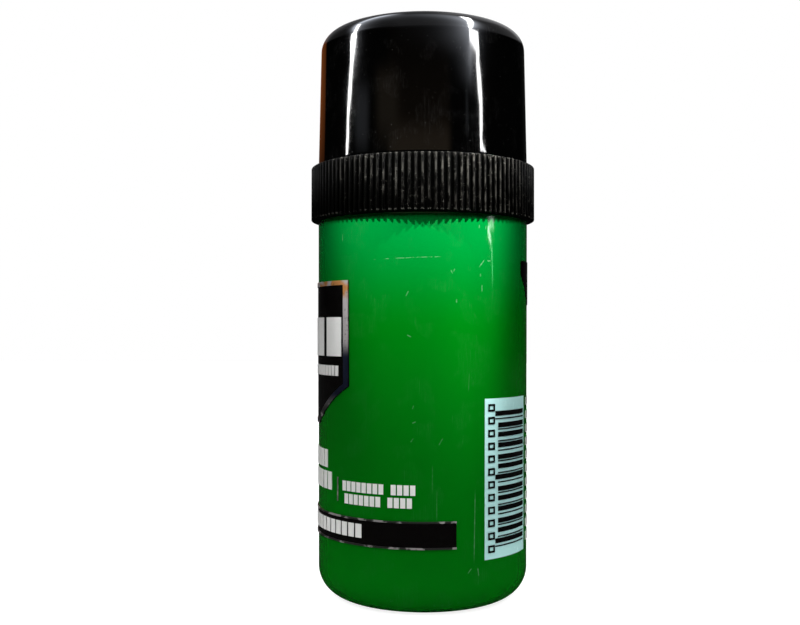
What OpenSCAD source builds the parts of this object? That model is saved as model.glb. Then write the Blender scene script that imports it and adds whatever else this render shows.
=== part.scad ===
// Round twist-up deodorant stick with a ribbed grip ring and a glossy cap.
// Millimetres, +Z up. The origin is the centre of the foot, on the surface that the stick stands on.
// Angles go round the barrel from -Y towards +X. The face of the pack looks along -X.

/* [Barrel] */
// Height of the barrel up to the underside of the grip ring
barrel_h = 76; // [72:1:90]
// Outer radius of the barrel at its rim
rim_r = 21.5; // [20:0.1:25]
// How much narrower the barrel is just above its rounded foot
barrel_draft = 0.2; // [0:0.05:0.3]
// Wall of the barrel
barrel_wall = 1.2; // [1:0.1:1.6]
// Floor of the barrel
floor_t = 1.6; // [1.2:0.1:2.4]
// Rounding between the barrel's side and its foot
foot_round = 6; // [4:0.5:8]
// Width of the flat ring that the barrel stands on
foot_land = 2.5; // [1.5:0.1:4]
// Depth of the hollow in the middle of the foot
foot_recess = 0.6; // [0.3:0.1:1.2]
// How far the rim's snap lip stands in, and the sleeve's snap bead stands out
snap_reach = 0.5; // [0.4:0.05:0.6]
// Height of the snap lip and of the snap bead
snap_h = 1.4; // [1:0.1:2]
// Distance from the rim down to the snap lip
snap_drop = 2; // [1.5:0.1:4]

/* [Grip ring] */
// How far the ribs stand out past the barrel's rim
ring_overhang = 1.5; // [1:0.1:2.5]
// Height of the grip ring
ring_h = 11.1; // [8:0.1:15]
// Number of ribs round the grip ring
rib_count = 116; // [80:4:140]
// Depth of the grooves between ribs
rib_depth = 0.5; // [0.3:0.05:0.8]
// Height of the plain band above and below the ribs
rib_end = 0.4; // [0.2:0.05:0.8]
// How far the plain bands lie below the bottoms of the grooves
band_step = 0.1; // [0.05:0.05:0.3]

/* [Inner sleeve] */
// Wall of the sleeve that holds the stick
sleeve_wall = 1.2; // [1:0.1:1.5]
// Height of the neck that stands above the grip ring
neck_h = 6; // [4:0.1:9]
// How far the neck's bead stands out, to hold the ring down
neck_bead = 0.2; // [0.1:0.05:0.4]
// Height of the neck's bead
neck_bead_h = 0.8; // [0.5:0.1:1.5]
// Number of guide ribs inside the sleeve
guide_count = 4; // [2:1:6]
// Width of a guide rib
guide_w = 1.6; // [1.2:0.1:2.4]
// How far a guide rib stands in
guide_reach = 1; // [0.8:0.1:1.4]
// Distance from the top of the grip ring down to the top of the guide ribs
guide_drop = 3; // [1:0.5:6]

/* [Lift screw] */
// Radius of the screw at its crests
screw_r = 3.2; // [2.8:0.1:3.8]
// Depth of the thread
thread_depth = 0.8; // [0.5:0.1:1]
// Rise of the carrier in one turn
screw_lead = 8; // [6:0.5:10]
// Distance from the top of the grip ring down to the screw's tip
screw_drop = 5; // [4:0.5:12]
// Radius of the pin at the screw's foot
pin_r = 2.6; // [2:0.1:3]
// Wall of the socket that holds the pin
socket_wall = 1.6; // [1.2:0.1:2.4]
// Height of the socket above the barrel's floor
socket_h = 6; // [4:0.5:7]
// Thickness of the flange that sits on the socket
flange_t = 1; // [0.8:0.1:1.6]

/* [Carrier] */
// Thickness of the carrier's plate
plate_t = 1.5; // [1.2:0.1:2.2]
// Height of the carrier's rim above its plate
carrier_rim_h = 5.5; // [4:0.5:8]
// Wall of the carrier's rim
carrier_rim_wall = 1; // [0.8:0.1:1.2]
// Wall of the nut round the screw
nut_wall = 1.7; // [1.4:0.1:2.4]
// Height of the nut above the plate
nut_rise = 4.5; // [3:0.5:7]
// Gap between the nut's lower end and the screw's flange
nut_gap = 2.8; // [1:0.1:4]
// Radius of the holes that key the plate to the stick
key_hole_r = 2; // [1.5:0.1:2.5]
// Number of keying holes
key_hole_count = 4; // [3:1:8]
// Radius of the circle that the keying holes lie on
key_hole_ring_r = 11; // [10:0.5:12]

/* [Stick] */
// Height of the stick from the plate to its crown
stick_h = 64.5; // [58:0.5:66]
// How far the crown stands above the grip ring
stick_proud = 2.9; // [1:0.1:5]
// Radius of the crown's dome
stick_dome_r = 45; // [35:1:80]

/* [Cap] */
// Height of the cap above the grip ring
cap_h = 30.3; // [30:0.1:40]
// Wall of the cap
cap_wall = 1.5; // [1.2:0.1:2]
// How much narrower the cap is at its shoulder than at its mouth
cap_draft = 0.5; // [0.2:0.1:1]
// Rounding of the cap's shoulder
cap_round = 3.8; // [2.6:0.1:5]
// Radius of the cap's low dome
cap_dome_r = 60; // [45:1:120]

/* [Print] */
// Clear height between the highest print and the grip ring. All print heights are scaled to keep it
print_clear = 8.4; // [4:0.2:16]

/* [Front plaque] */
// Angle of the middle of the front print
front_angle = -90; // [-180:1:180]
// Half the angle that the front plaque spans
plaque_half_angle = 49.3; // [35:0.1:55]
// Half the angle of the plaque's lower edge
plaque_low_half_angle = 17; // [10:1:25]
// Height of the plaque's top edge
plaque_top = 63.4; // [60:0.1:68]
// Height at which the plaque's lower corners are cut
plaque_cut = 43; // [40:0.5:46]
// Height of the plaque's lower edge
plaque_low = 35.2; // [33:0.1:38]
// Width of the foil border
foil_w = 0.9; // [0.5:0.1:1.5]
// Number of plain white blocks on the plaque
block_count = 5; // [3:1:8]
// Half the angle that the row of blocks spans
block_half_angle = 43.5; // [30:0.5:46]
// Lower and upper height of the blocks
block_z = [48.7, 56.3]; // [47:0.1:58]
// Number of small cells under the blocks
tag_count = 24; // [12:1:30]
// Half the angle that the small cells span
tag_half_angle = 41; // [30:0.5:44]
// Lower and upper height of the small cells
tag_z = [44.9, 46.9]; // [44:0.1:48]

/* [Lower print] */
// Number of heading cells in a row
heading_count = 13; // [8:1:16]
// Half the angle of each of the two heading rows
heading_half_angle = [29.6, 34.3]; // [20:0.1:38]
// Lower height of each of the two heading rows
heading_z = [26.8, 22.6]; // [22:0.1:30]
// Height of a heading row
heading_h = 3.5; // [2:0.1:4]
// Angle of the divider line
divider_angle = -49.9; // [-54:0.1:-48]
// Width of the divider line, in degrees
divider_w_angle = 0.8; // [0.5:0.1:1.5]
// Lower and upper height of the divider line
divider_z = [20.8, 25.4]; // [19:0.1:27]
// First angle of each of the two claim rows
claim_from_angle = [-45.7, -44.1]; // [-47:0.1:-40]
// Cells in the first word of each of the two claim rows
claim_cells = [8, 7]; // [4:1:9]
// Cells in the second word of both claim rows
claim_tail_cells = 4; // [2:1:5]
// Angle from one claim cell to the next
claim_pitch_angle = 3.3; // [2.5:0.1:3.5]
// Lower height of each of the two claim rows
claim_z = [23.0, 20.6]; // [19.5:0.1:25]
// Height of a claim row
claim_h = 1.9; // [1.2:0.1:2.1]
// Half the angle that the dark band spans
band_half_angle = 107.3; // [95:0.1:115]
// Lower and upper height of the dark band
band_z = [13, 18.2]; // [12:0.1:19]
// Height of the foil line along each edge of the band
band_foil_h = 0.35; // [0.25:0.05:0.6]
// Number of cells on the band
band_count = 24; // [12:1:30]
// Half the angle that the band's cells span
band_cell_half_angle = 57.6; // [30:0.1:80]
// Lower and upper height of the band's cells
band_cell_z = [14.5, 17.1]; // [14:0.1:17.5]

/* [Code panel] */
// First and last angle of the pale panel
panel_angles = [33.4, 69.2]; // [30:0.1:72]
// Lower and upper height of the pale panel
panel_z = [10.4, 40.8]; // [9:0.1:43]
// First and last angle of the bars
bar_angles = [42.2, 67]; // [41:0.1:68]
// Lower and upper height of the stack of bars
bar_z = [12.6, 38.4]; // [12:0.1:40]
// Number of bars
bar_count = 26; // [18:1:30]
// How far the guard bars reach past the others, in degrees
guard_reach_angle = 2; // [1:0.1:3]
// First and last angle of the column of rings beside the bars
ring_mark_angles = [35.4, 39.8]; // [34:0.1:40]
// Number of rings in the column
ring_mark_count = 12; // [8:1:13]
// Height of a ring
ring_mark_h = 1.4; // [1:0.1:1.6]
// Line width of a ring
ring_mark_line = 0.35; // [0.25:0.05:0.45]

/* [Rear print] */
// Angle of the middle of the rear print
rear_angle = 90; // [-180:1:180]
// Half the angle that the rear plaque spans
rear_half_angle = 25.6; // [20:0.1:35]
// Half the angle of the rear plaque's lower edge
rear_low_half_angle = 11; // [6:1:15]
// Height of the rear plaque's top edge
rear_top = 67.6; // [66:0.1:69]
// Height at which the rear plaque's lower corners are cut
rear_cut = 65; // [64:0.1:65.5]
// Height of the rear plaque's lower edge
rear_low = 59; // [57:0.1:61]
// Half the angle that the rear rows span
row_half_angle = 14.7; // [10:0.1:18]
// Number of rear rows
row_count = 11; // [6:1:11]
// Height of the lowest rear row
row_low = 11.8; // [10:0.1:13]
// Height from one rear row to the next
row_pitch = 2.7; // [2.2:0.1:3]
// Height of a rear row
row_h = 1.5; // [1:0.1:1.8]
// Gap between the two words of a rear row, in degrees
word_gap_angle = 1; // [0.5:0.1:2]

/* [Clearances] */
// Gap between curved faces that slide or turn past each other
running_gap = 0.3; // [0.25:0.05:0.4]
// Gap between the carrier's nut and the screw
thread_gap = 0.4; // [0.35:0.05:0.5]
// Gap between pieces that are pressed together
press_gap = 0.03; // [0.02:0.01:0.05]
// Gap above the foot's inner rounding to the sleeve's lower end
sleeve_gap = 1; // [0.5:0.1:3]
// Thickness of a printed layer
ink_t = 0.1; // [0.06:0.01:0.15]
// Gap under a printed layer
ink_gap = 0.02; // [0.01:0.01:0.05]

/* [Hidden] */
$fn = 96;

// Barrel
foot_r = rim_r - barrel_draft;
foot_flat_r = foot_r - foot_round;
inner_floor_z = foot_recess + floor_t;
inner_round = foot_round - barrel_wall;
rim_bore_r = rim_r - barrel_wall;
foot_bore_r = foot_r - barrel_wall;
lip_top_z = barrel_h - snap_drop;
lip_low_z = lip_top_z - snap_h;
lip_ramp = snap_reach / 2;
socket_top_z = inner_floor_z + socket_h;
socket_bore_r = pin_r + press_gap;
socket_r = socket_bore_r + socket_wall;

// Sleeve and ring
sleeve_r = rim_bore_r - snap_reach - running_gap;
sleeve_bore_r = sleeve_r - sleeve_wall;
sleeve_low_z = inner_floor_z + inner_round + sleeve_gap;
bead_top_z = lip_low_z - running_gap;
ring_top_z = barrel_h + ring_h;
ring_r = rim_r + ring_overhang;
neck_top_z = ring_top_z + neck_h;
guide_tip_r = sleeve_bore_r - guide_reach;

// Screw
flange_top_z = socket_top_z + flange_t;
screw_tip_z = ring_top_z - screw_drop;
thread_points = 12;
thread_starts = 2;
slices_a_turn = 12;

// Carrier and stick
crown_z = ring_top_z + stick_proud;
plate_top_z = crown_z - stick_h;
plate_low_z = plate_top_z - plate_t;
carrier_rim_z = plate_top_z + carrier_rim_h;
nut_low_z = flange_top_z + nut_gap;
nut_top_z = plate_top_z + nut_rise;
nut_r = screw_r + thread_gap + nut_wall;
slider_r = sleeve_bore_r - running_gap;
slot_w = guide_w + 2 * running_gap;
slot_tip_r = guide_tip_r - running_gap;
stick_dome_z = crown_z - stick_dome_r;

// Cap
cap_bore_r = sleeve_r + neck_bead + running_gap;
cap_mouth_r = cap_bore_r + cap_wall;
cap_shoulder_r = cap_mouth_r - cap_draft;
cap_top_z = ring_top_z + cap_h;
cap_dome_z = cap_top_z - cap_dome_r;
cap_round_x = cap_shoulder_r - cap_round;
cap_round_z = cap_dome_z + sqrt(pow(cap_dome_r - cap_round, 2) - pow(cap_round_x, 2));
cap_lean = atan(cap_draft / (cap_round_z - ring_top_z));
cap_turn = atan((cap_round_z - cap_dome_z) / cap_round_x);

// Print: the first layer lies on the barrel, the second on the first
print_scale = (barrel_h - print_clear) / max(plaque_top, rear_top);
layer_1 = ink_gap;
layer_2 = layer_1 + ink_t + ink_gap;
cell_fill = 0.78;
slack = 1;

green = [0.0, 0.5, 0.15];
black = [0.03, 0.03, 0.03];
ivory = [0.86, 0.87, 0.84];
foil = [0.62, 0.55, 0.45];
white = [0.95, 0.95, 0.95];

function barrel_r(z) = foot_r + barrel_draft * (z - foot_round) / (barrel_h - foot_round);

function arc(x, z, r, from, to, steps = 10) =
    [for (i = [0:steps]) let (a = from + (to - from) * i / steps) [x + r * cos(a), z + r * sin(a)]];

// Section of the screw: two rounded lobes, which the twist turns into two starts
function thread_outline(grow) =
    [for (i = [0:thread_points - 1])
        let (a = 360 * i / thread_points,
             r = screw_r - thread_depth / 2 * (1 - cos(thread_starts * a)) + grow)
        [r * cos(a), r * sin(a)]];

module threaded(from_z, to_z, grow) {
    turns = (to_z - from_z) / screw_lead;
    translate([0, 0, from_z])
        rotate([0, 0, 360 * from_z / screw_lead])
            linear_extrude(height = to_z - from_z, twist = -360 * turns,
                           slices = ceil(turns * slices_a_turn), segments = thread_points)
                polygon(thread_outline(grow));
}

module outer_barrel() {
    color(green) rotate_extrude()
        polygon(concat(
            [[0, foot_recess], [foot_flat_r - foot_land, foot_recess],
             [foot_flat_r - foot_land + foot_recess, 0]],
            arc(foot_flat_r, foot_round, foot_round, -90, 0),
            [[rim_r, barrel_h], [rim_bore_r, barrel_h], [rim_bore_r, lip_top_z],
             [rim_bore_r - snap_reach, lip_top_z - lip_ramp],
             [rim_bore_r - snap_reach, lip_low_z + lip_ramp], [rim_bore_r, lip_low_z]],
            arc(foot_bore_r - inner_round, inner_floor_z + inner_round, inner_round, 0, -90),
            [[socket_r, inner_floor_z], [socket_r, socket_top_z], [socket_bore_r, socket_top_z],
             [socket_bore_r, inner_floor_z], [0, inner_floor_z]]));
}

module lift_screw() {
    color(ivory) {
        translate([0, 0, inner_floor_z]) cylinder(r = pin_r, h = socket_h);
        translate([0, 0, socket_top_z]) cylinder(r = socket_r, h = flange_t);
        threaded(flange_top_z, screw_tip_z, 0);
    }
}

module grip_ring() {
    rib_points = 6;
    total = rib_count * rib_points;
    outline = [for (i = [0:total - 1])
        let (a = 360 * i / total, r = ring_r - rib_depth / 2 * (1 - cos(rib_count * a)))
        [r * cos(a), r * sin(a)]];
    color(black) translate([0, 0, barrel_h]) difference() {
        union() {
            cylinder(r = ring_r - rib_depth - band_step, h = ring_h);
            translate([0, 0, rib_end]) linear_extrude(height = ring_h - 2 * rib_end) polygon(outline);
        }
        translate([0, 0, -slack]) cylinder(r = sleeve_r + press_gap, h = ring_h + 2 * slack);
    }
}

module guides(tip_r, width, from_z, to_z) {
    for (i = [0:guide_count - 1])
        rotate([0, 0, 360 * i / guide_count])
            translate([tip_r, -width / 2, from_z])
                cube([sleeve_bore_r + sleeve_wall / 2 - tip_r, width, to_z - from_z]);
}

module inner_sleeve() {
    bead_r = sleeve_r + snap_reach;
    bead_low_z = bead_top_z - snap_h;
    color(ivory) {
        rotate_extrude() polygon([
            [sleeve_bore_r, sleeve_low_z], [sleeve_r, sleeve_low_z], [sleeve_r, bead_low_z],
            [bead_r, bead_low_z + lip_ramp], [bead_r, bead_top_z - lip_ramp], [sleeve_r, bead_top_z],
            [sleeve_r, ring_top_z], [sleeve_r + neck_bead, ring_top_z],
            [sleeve_r + neck_bead, ring_top_z + neck_bead_h / 2],
            [sleeve_r, ring_top_z + neck_bead_h], [sleeve_r, neck_top_z], [sleeve_bore_r, neck_top_z]]);
        guides(guide_tip_r, guide_w, sleeve_low_z, ring_top_z - guide_drop);
    }
}

module stick_carrier() {
    color(ivory) difference() {
        union() {
            translate([0, 0, plate_low_z]) cylinder(r = slider_r, h = plate_t + carrier_rim_h);
            translate([0, 0, nut_low_z]) cylinder(r = nut_r, h = plate_top_z - nut_low_z);
        }
        difference() {
            translate([0, 0, plate_top_z])
                cylinder(r = slider_r - carrier_rim_wall, h = carrier_rim_h + slack);
            translate([0, 0, plate_top_z - slack]) cylinder(r = nut_r, h = nut_rise + slack);
        }
        for (i = [0:key_hole_count - 1])
            rotate([0, 0, 360 * (i + 0.5) / key_hole_count])
                translate([key_hole_ring_r, 0, plate_low_z - slack])
                    cylinder(r = key_hole_r, h = plate_t + 2 * slack);
        guides(slot_tip_r, slot_w, plate_low_z - slack, carrier_rim_z + slack);
        threaded(nut_low_z - slack, nut_top_z + carrier_rim_h, thread_gap);
    }
}

module deodorant_stick() {
    lower_r = slider_r - carrier_rim_wall - press_gap;
    pocket_r = nut_r + press_gap;
    bore_r = screw_r + running_gap;
    color(white) difference() {
        rotate_extrude() polygon(concat(
            [[pocket_r, plate_top_z], [lower_r, plate_top_z], [lower_r, carrier_rim_z],
             [slider_r, carrier_rim_z]],
            arc(0, stick_dome_z, stick_dome_r, acos(slider_r / stick_dome_r), 90),
            [[0, screw_tip_z + running_gap], [bore_r, screw_tip_z + running_gap],
             [bore_r, nut_top_z + press_gap], [pocket_r, nut_top_z + press_gap]]));
        guides(slot_tip_r, slot_w, plate_top_z - slack, crown_z + slack);
    }
}

module cap() {
    inner_round_r = cap_round - cap_wall;
    color(black) rotate_extrude() polygon(concat(
        [[cap_bore_r, ring_top_z], [cap_mouth_r, ring_top_z]],
        arc(cap_round_x, cap_round_z, cap_round, cap_lean, cap_turn),
        arc(0, cap_dome_z, cap_dome_r, cap_turn, 90, 16),
        arc(0, cap_dome_z, cap_dome_r - cap_wall, 90, cap_turn, 16),
        arc(cap_round_x, cap_round_z, inner_round_r, cap_turn, cap_lean)));
}

// The span that reaches the same angle to both sides of a middle
function about(middle, half) = [middle - half, middle + half];

// A printed patch between two angles and two heights, lying on the barrel
module patch(a, z, layer, t = ink_t) {
    low = z[0] * print_scale;
    high = z[1] * print_scale;
    rotate([0, 0, a[0] - 90]) rotate_extrude(angle = a[1] - a[0]) polygon([
        [barrel_r(low) + layer, low], [barrel_r(low) + layer + t, low],
        [barrel_r(high) + layer + t, high], [barrel_r(high) + layer, high]]);
}

// A row of equal cells that fills the span between two angles
module cells(a, z, count, layer) {
    pitch = (a[1] - a[0]) / (count - 1 + cell_fill);
    for (i = [0:count - 1])
        patch([a[0] + i * pitch, a[0] + (i + cell_fill) * pitch], z, layer);
}

// An upright block with the outline of a plaque whose lower corners are cut.
// half and low_half are angles, top, cut and low are heights, and inset draws it that much smaller.
module plaque_block(at, half, low_half, top, cut, low, inset = 0) {
    top_z = top * print_scale - inset;
    cut_z = cut * print_scale + inset / 2;
    low_z = low * print_scale + inset;
    x = barrel_r(cut_z) * sin(half) - inset;
    low_x = barrel_r(low_z) * sin(low_half) - inset / 2;
    rotate([0, 0, at]) rotate([90, 0, 0]) linear_extrude(height = ring_r)
        polygon([[-x, top_z], [-x, cut_z], [-low_x, low_z], [low_x, low_z], [x, cut_z], [x, top_z]]);
}

module front_block(inset = 0) {
    plaque_block(front_angle, plaque_half_angle, plaque_low_half_angle,
                 plaque_top, plaque_cut, plaque_low, inset);
}

// The skin of the barrel that a plaque is cut from
module plaque_skin(at, half, low, top, layer) {
    patch(about(at, half + slack), [low - slack, top + slack], layer);
}

module front_plaque() {
    color(black) intersection() {
        plaque_skin(front_angle, plaque_half_angle, plaque_low, plaque_top, layer_1);
        front_block();
    }
}

module plaque_foil() {
    color(foil) difference() {
        intersection() {
            plaque_skin(front_angle, plaque_half_angle, plaque_low, plaque_top, layer_2);
            front_block();
        }
        front_block(foil_w);
    }
}

module plaque_blocks() {
    color(white) cells(about(front_angle, block_half_angle), block_z, block_count, layer_2);
}

module plaque_tag() {
    color(white) cells(about(front_angle, tag_half_angle), tag_z, tag_count, layer_2);
}

module heading_cells() {
    color(white) for (row = [0, 1])
        cells(about(front_angle, heading_half_angle[row]),
              [heading_z[row], heading_z[row] + heading_h], heading_count, layer_1);
}

module divider_line() {
    color(foil) patch(about(divider_angle, divider_w_angle / 2), divider_z, layer_1);
}

// A word of equal cells, starting at an angle
module word(first, count, z) {
    for (i = [0:count - 1])
        patch([first + i * claim_pitch_angle, first + (i + cell_fill) * claim_pitch_angle], z, layer_1);
}

module claim_cells_print() {
    color(white) for (row = [0, 1]) {
        z = [claim_z[row], claim_z[row] + claim_h];
        first = claim_from_angle[row];
        second = first + (claim_cells[row] + 1) * claim_pitch_angle;
        word(first, claim_cells[row], z);
        word(second, claim_tail_cells, z);
    }
}

module dark_band() {
    color(black) patch(about(front_angle, band_half_angle), band_z, layer_1);
}

module band_foil() {
    span = about(front_angle, band_half_angle);
    color(foil) {
        patch(span, [band_z[0], band_z[0] + band_foil_h], layer_2);
        patch(span, [band_z[1] - band_foil_h, band_z[1]], layer_2);
    }
}

module band_cells() {
    color(white) cells(about(front_angle, band_cell_half_angle), band_cell_z, band_count, layer_2);
}

module code_panel() {
    color(white) patch(panel_angles, panel_z, layer_1);
}

// Bar widths and the gaps between them follow a plain rule and spell nothing
function bar_w(i) = 1 + (i * i + 2 * i) % 4;
function bar_space(i) = 1 + (i * 5 + 1) % 3;
function bar_start(i) = i == 0 ? 0 : bar_start(i - 1) + bar_w(i - 1) + bar_space(i - 1);

module code_bars() {
    step = (bar_z[1] - bar_z[0]) / (bar_start(bar_count - 1) + bar_w(bar_count - 1));
    middle = floor(bar_count / 2);
    color(black) for (i = [0:bar_count - 1]) {
        guard = i < 2 || i > bar_count - 3 || i == middle;
        patch([bar_angles[0] - (guard ? guard_reach_angle : 0), bar_angles[1]],
              [bar_z[0] + bar_start(i) * step, bar_z[0] + (bar_start(i) + bar_w(i)) * step], layer_2);
    }
}

module code_rings() {
    pitch = (panel_z[1] - panel_z[0]) / (ring_mark_count + 0.5);
    line_a = ring_mark_line / rim_r * 180 / PI;
    color(black) for (i = [0:ring_mark_count - 1]) {
        low = panel_z[0] + (i + 0.5) * pitch;
        high = low + ring_mark_h;
        difference() {
            patch(ring_mark_angles, [low, high], layer_2);
            patch([ring_mark_angles[0] + line_a, ring_mark_angles[1] - line_a],
                  [low + ring_mark_line, high - ring_mark_line],
                  layer_2 - ink_gap / 2, ink_t + ink_gap);
        }
    }
}

module rear_plaque() {
    color(black) intersection() {
        plaque_skin(rear_angle, rear_half_angle, rear_low, rear_top, layer_1);
        plaque_block(rear_angle, rear_half_angle, rear_low_half_angle, rear_top, rear_cut, rear_low);
    }
}

module rear_rows() {
    color(white) for (i = [0:row_count - 1]) {
        z = row_low + i * row_pitch;
        // Each row is two words, and the gap between them shifts from row to row
        split = rear_angle + row_half_angle * ((i * 3) % 5 - 2) / 4;
        patch([rear_angle - row_half_angle, split - word_gap_angle / 2], [z, z + row_h], layer_1);
        patch([split + word_gap_angle / 2, rear_angle + row_half_angle], [z, z + row_h], layer_1);
    }
}

outer_barrel();
lift_screw();
grip_ring();
inner_sleeve();
stick_carrier();
deodorant_stick();
cap();
front_plaque();
plaque_foil();
plaque_blocks();
plaque_tag();
heading_cells();
divider_line();
claim_cells_print();
dark_band();
band_foil();
band_cells();
code_panel();
code_bars();
code_rings();
rear_plaque();
rear_rows();
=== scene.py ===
"""Looks for a round twist-up deodorant stick.

It has a glossy barrel with its print, a ribbed grip ring and a pull-off cap. Lengths are in metres.
"""

import math

import bmesh
import bpy
from bpy.props import FloatProperty, FloatVectorProperty, IntProperty, PointerProperty
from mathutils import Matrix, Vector


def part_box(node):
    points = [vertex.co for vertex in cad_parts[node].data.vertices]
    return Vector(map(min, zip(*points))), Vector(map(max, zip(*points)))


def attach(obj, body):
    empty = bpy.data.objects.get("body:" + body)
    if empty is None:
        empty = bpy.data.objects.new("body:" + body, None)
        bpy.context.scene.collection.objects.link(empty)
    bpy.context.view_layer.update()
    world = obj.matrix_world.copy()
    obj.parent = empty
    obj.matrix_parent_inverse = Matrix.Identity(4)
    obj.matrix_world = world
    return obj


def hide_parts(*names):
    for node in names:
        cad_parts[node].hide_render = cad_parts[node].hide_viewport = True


bl_info = {
    "name": "Twist-up deodorant stick",
    "version": (1, 0, 0),
    "blender": (4, 5, 0),
    "location": "3D View > Sidebar > Stick",
    "description": "Builds and finishes the pieces of a round twist-up deodorant stick",
    "category": "Object",
}

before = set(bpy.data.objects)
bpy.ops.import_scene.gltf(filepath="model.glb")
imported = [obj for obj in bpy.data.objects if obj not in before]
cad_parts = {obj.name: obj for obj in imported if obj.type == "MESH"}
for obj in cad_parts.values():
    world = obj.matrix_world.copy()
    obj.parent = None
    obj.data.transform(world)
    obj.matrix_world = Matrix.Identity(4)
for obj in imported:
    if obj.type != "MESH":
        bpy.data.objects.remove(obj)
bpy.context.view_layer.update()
MM = 0.001
TURN = 2 * math.pi
LATHE_STEPS = 224
SHARP_CORNER = math.radians(40)


def low(node):
    """Lowest corner of a CAD node."""
    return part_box(node)[0]


def high(node):
    """Highest corner of a CAD node."""
    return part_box(node)[1]


# Shader and geometry maths


class Value:
    """A node's output socket that takes sums: each operator adds the Math node that works it out."""

    def __init__(self, owner, socket):
        self.owner = owner
        self.socket = socket

    def maths(self, operation, *values):
        return self.owner.node("ShaderNodeMath", {"operation": operation}, dict(enumerate(values)))

    def __add__(self, other):
        return self.maths("ADD", self, other)

    def __sub__(self, other):
        return self.maths("SUBTRACT", self, other)

    def __rsub__(self, other):
        return self.maths("SUBTRACT", other, self)

    def __mul__(self, other):
        return self.maths("MULTIPLY", self, other)

    def __pow__(self, other):
        return self.maths("POWER", self, other)

    __radd__ = __add__
    __rmul__ = __mul__

    def size(self):
        return self.maths("ABSOLUTE", self)

    def at_most(self, other):
        return self.maths("MINIMUM", self, other)

    def at_least(self, other):
        return self.maths("MAXIMUM", self, other)

    def rise(self, start, end):
        """0 up to start and 1 from end on, with a smooth step between them.
        It falls where start is past end."""
        return self.owner.node(
            "ShaderNodeMapRange",
            {"interpolation_type": "SMOOTHSTEP"},
            {"Value": self, "From Min": start, "From Max": end},
        )

    def near(self, middle, reach, soft):
        """1 within reach of middle, and 0 from reach + soft on."""
        return (self - middle).size().rise(reach + soft, reach)


class Nodes:
    """A node tree and the one way in which nodes are added to it."""

    def __init__(self, tree):
        self.tree = tree

    def node(self, kind, settings=None, inputs=None, out=0):
        """Adds a node, gives it its settings, then its sockets' values or links, and returns an output."""
        made = self.tree.nodes.new(kind)
        for key, value in (settings or {}).items():
            setattr(made, key, value)
        for key, value in (inputs or {}).items():
            self.feed(made.inputs[key], value)
        return Value(self, made.outputs[out]) if made.outputs else made

    def feed(self, socket, value):
        if isinstance(value, Value):
            self.tree.links.new(value.socket, socket)
        elif socket.type == "RGBA":
            socket.default_value = (*tuple(value)[:3], 1.0)
        else:
            socket.default_value = value

    def mix(self, factor, first, second):
        """A colour that goes from first to second with the factor."""
        return self.node(
            "ShaderNodeMix",
            {"data_type": "RGBA"},
            {0: factor, 6: first, 7: second},
            out=2,
        )

    def vector(self, operation, first, second):
        return self.node("ShaderNodeVectorMath", {"operation": operation}, {0: first, 1: second})

    def parts(self, vector):
        """The x, y and z of a vector."""
        first = self.node("ShaderNodeSeparateXYZ", None, {0: vector})
        outputs = first.socket.node.outputs
        return [Value(self, outputs[i]) for i in range(3)]


class Finish(Nodes):
    """A material with one principled shader and the piece's own coordinates at hand."""

    def __init__(self, name):
        self.material = bpy.data.materials.new(name)
        self.material.use_nodes = True
        super().__init__(self.material.node_tree)
        self.shader = next(n for n in self.tree.nodes if n.type == "BSDF_PRINCIPLED")
        self.where = self.node("ShaderNodeTexCoord", out="Object")
        self.x, self.y, self.z = self.parts(self.where)
        # Angle round the stick in degrees, from -Y towards +X
        self.around = self.x.maths("ARCTAN2", self.x, 0 - self.y) * math.degrees(1)

    def noise(self, size, detail=2.0, roughness=0.5, stretch=(1, 1, 1), shift=0.0):
        """Noise whose patches are about size metres across, drawn out along an axis by stretch."""
        scaled = [1 / (size * s) for s in stretch]
        place = self.vector("MULTIPLY", self.where, scaled)
        place = self.vector("ADD", place, (shift, shift * 1.7, shift * 2.3))
        return self.node(
            "ShaderNodeTexNoise",
            None,
            {"Vector": place, "Scale": 1.0, "Detail": detail, "Roughness": roughness},
        )

    def skin(self, radius):
        """Coordinates that unroll a round wall: along the turn, along the radius and up, all in metres."""
        along = self.around * (math.radians(1) * radius)
        return self.node("ShaderNodeCombineXYZ", None, {0: along, 1: 0.0, 2: self.z})

    def scratches(self, radius, size, length, lean, rarity, shift):
        """Fine straight scratches on a round wall: 1 on a scratch and 0 off it."""
        turned = self.node(
            "ShaderNodeMapping",
            {"vector_type": "POINT"},
            {
                "Vector": self.skin(radius),
                "Rotation": (0, math.radians(lean), 0),
                "Scale": (1 / size, 1.0, 1 / length),
                "Location": (shift, 0, shift * 3.1),
            },
        )
        lines = self.node("ShaderNodeTexNoise", None, {"Vector": turned, "Scale": 1.0, "Detail": 1.0})
        patches = self.noise(length, shift=shift + 5).rise(rarity, rarity + 0.05)
        return (lines - 0.5).size().rise(0.012, 0.0) * patches

    def stroke(self, radius, around, height, length, lean):
        """One straight mark on a round wall: its middle, its length and its lean from upright."""
        along_turn = (self.around - around) * (math.radians(1) * radius)
        rise = self.z - height
        cos, sin = math.cos(math.radians(lean)), math.sin(math.radians(lean))
        along = rise * cos + along_turn * sin
        across = along_turn * cos - rise * sin
        edge, core = 0.16 * MM, 0.04 * MM
        return along.size().rise(length / 2, length / 4) * across.size().rise(edge, core)

    def bump(self, height, strength, distance):
        return self.node(
            "ShaderNodeBump",
            None,
            {"Strength": strength, "Distance": distance, "Height": height},
        )

    def paint(self, **sockets):
        """Sets or links the shader's sockets. An underscore in a name stands for a space."""
        for name, value in sockets.items():
            self.feed(self.shader.inputs[name.replace("_", " ")], value)
        return self.material


# Mesh making


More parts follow.
